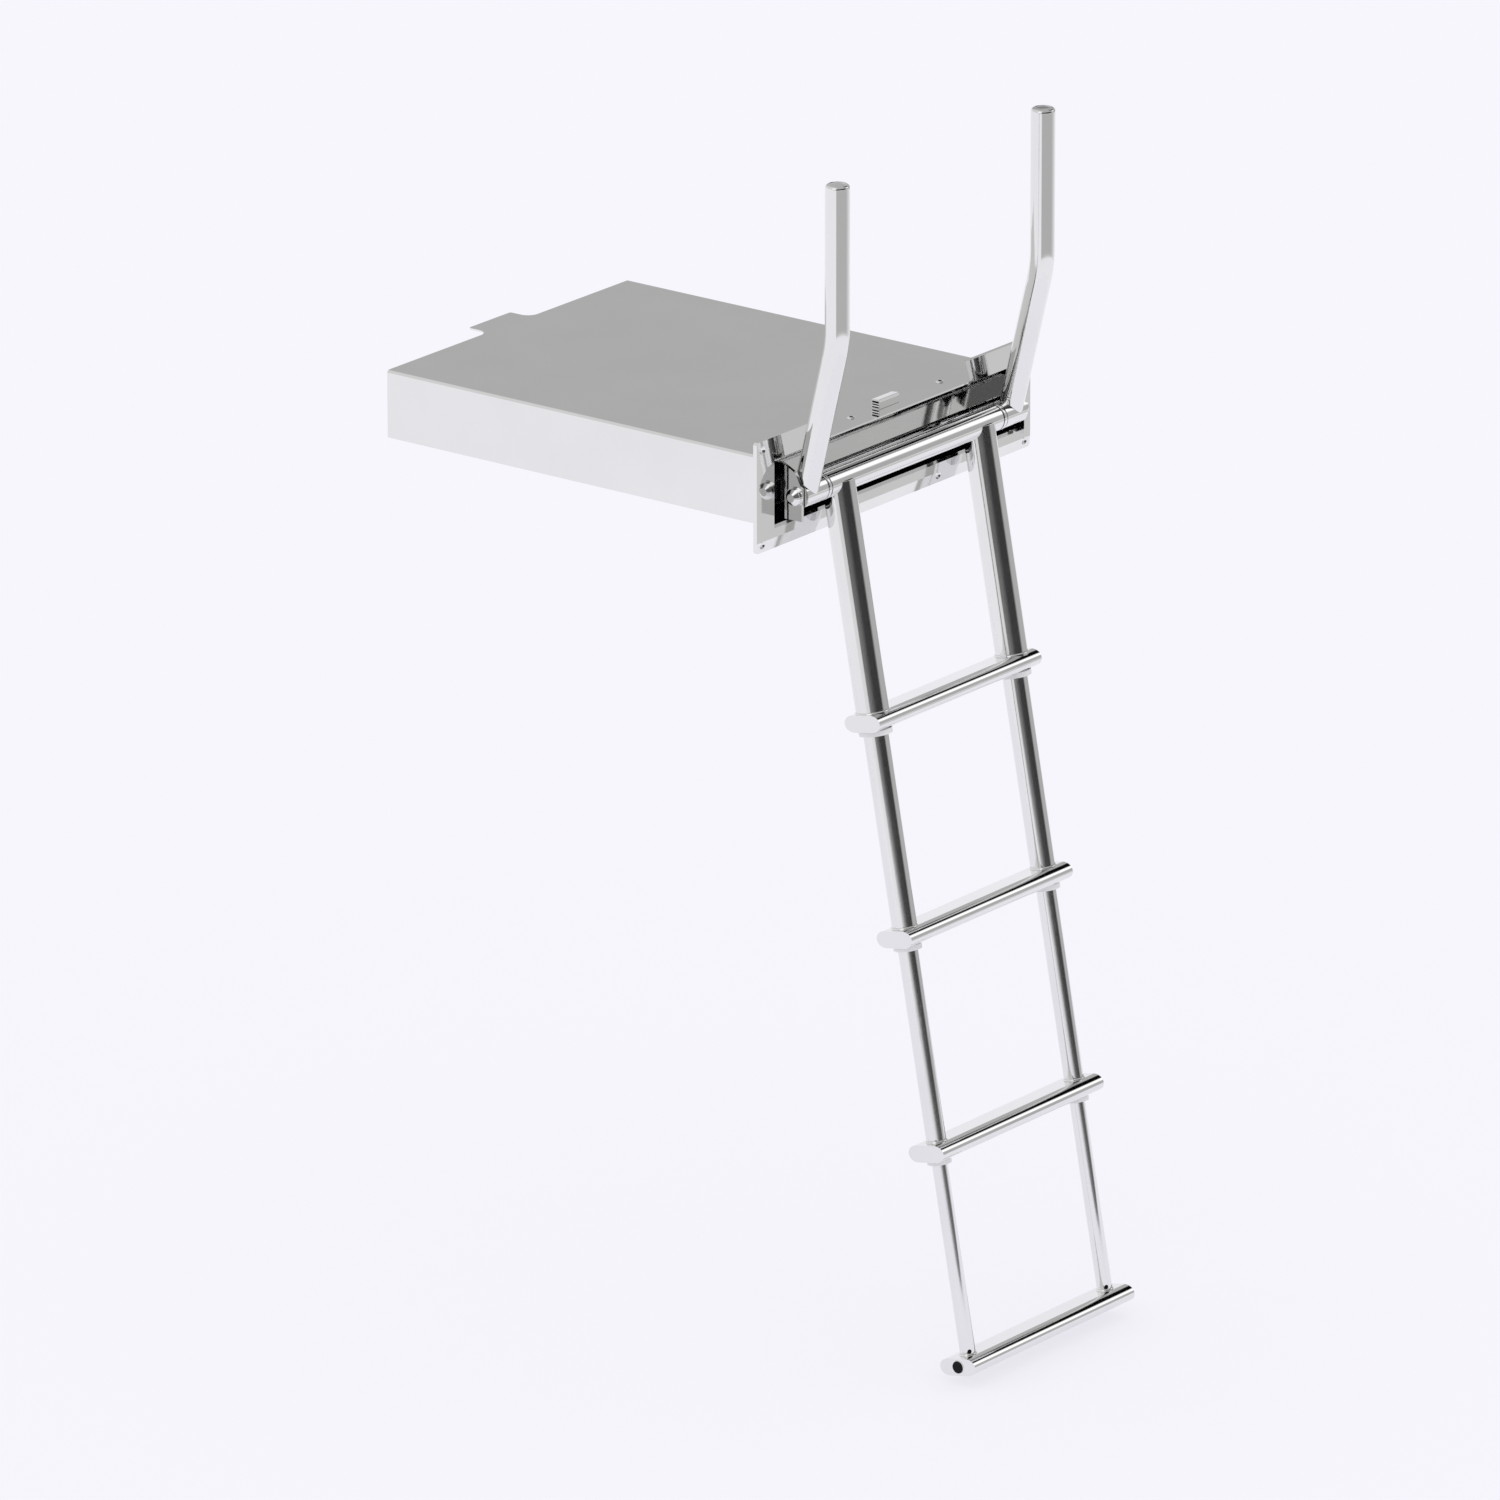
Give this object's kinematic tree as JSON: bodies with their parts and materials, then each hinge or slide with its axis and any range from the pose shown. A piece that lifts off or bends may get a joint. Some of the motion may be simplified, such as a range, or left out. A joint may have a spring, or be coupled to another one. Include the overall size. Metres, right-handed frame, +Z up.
{
  "type": "telescopic swim ladder",
  "caption": "Polished stainless telescopic swim ladder that folds level and stows in a flat flanged cassette, with folding upright grab handles.",
  "frame": {"origin": "on the back face of the mounting flange, half way across its width and half way up its lower bar", "axes": "+X across the ladder towards its right side as seen from the water, +Y inboard into the cassette, +Z up"},
  "size_m": [0.508, 0.8128, 1.3874],
  "materials": {
    "polished_steel": "mirror-polished stainless steel",
    "white_plastic": "smooth white nylon",
    "black_plastic": "smooth black plastic"
  },
  "bodies": {
    "cassette": {"housing_lid": "polished_steel", "housing_left_wall": "polished_steel", "housing_right_wall": "polished_steel", "housing_floor": "polished_steel", "housing_back_wall": "polished_steel", "front_flange": "polished_steel", "lid_latch": "polished_steel", "guide_channel_left": "black_plastic", "guide_channel_right": "black_plastic", "trolley_plate_left": "polished_steel", "trolley_plate_right": "polished_steel", "trolley_cross_bar": "polished_steel", "slide_block_left": "black_plastic", "slide_block_right": "black_plastic", "pivot_axle": "polished_steel", "pivot_nut_left": "polished_steel", "pivot_nut_right": "polished_steel"},
    "ladder_stage_1": {"pivot_tube": "polished_steel", "rail_1_left": "polished_steel", "rail_1_right": "polished_steel", "step_1": "polished_steel", "bush_1_left": "white_plastic", "bush_1_right": "white_plastic"},
    "ladder_stage_2": {"rail_2_left": "polished_steel", "rail_2_right": "polished_steel", "step_2": "polished_steel", "bush_2_left": "white_plastic", "bush_2_right": "white_plastic"},
    "ladder_stage_3": {"rail_3_left": "polished_steel", "rail_3_right": "polished_steel", "step_3": "polished_steel", "bush_3_left": "white_plastic", "bush_3_right": "white_plastic"},
    "ladder_stage_4": {"rail_4_left": "polished_steel", "rail_4_right": "polished_steel", "step_4": "polished_steel", "step_plug_left": "black_plastic", "step_plug_right": "black_plastic"},
    "handle_left": {"handle_left_sleeve": "polished_steel", "handle_left_tube": "polished_steel", "handle_left_cap": "polished_steel"},
    "handle_right": {"handle_right_sleeve": "polished_steel", "handle_right_tube": "polished_steel", "handle_right_cap": "polished_steel"}
  },
  "joints": [
    {"name": "ladder_pivot", "type": "hinge", "parent": "cassette", "child": "ladder_stage_1", "pos_m": [0, -0.024, 0.047], "axis": [-1, 0, 0], "range_deg": [0, 79.5]},
    {"name": "stage_2_slide", "type": "slide", "parent": "ladder_stage_1", "child": "ladder_stage_2", "axis": [0, 0.1822, 0.9833], "range_m": [0, 0.218]},
    {"name": "stage_3_slide", "type": "slide", "parent": "ladder_stage_2", "child": "ladder_stage_3", "axis": [0, 0.1822, 0.9833], "range_m": [0, 0.218]},
    {"name": "stage_4_slide", "type": "slide", "parent": "ladder_stage_3", "child": "ladder_stage_4", "axis": [0, 0.1822, 0.9833], "range_m": [0, 0.218]},
    {"name": "handle_left_pivot", "type": "hinge", "parent": "cassette", "child": "handle_left", "pos_m": [-0.19, -0.024, 0.047], "axis": [1, 0, 0], "range_deg": [0, 80]},
    {"name": "handle_right_pivot", "type": "hinge", "parent": "cassette", "child": "handle_right", "pos_m": [0.19, -0.024, 0.047], "axis": [1, 0, 0], "range_deg": [0, 80]}
  ]
}
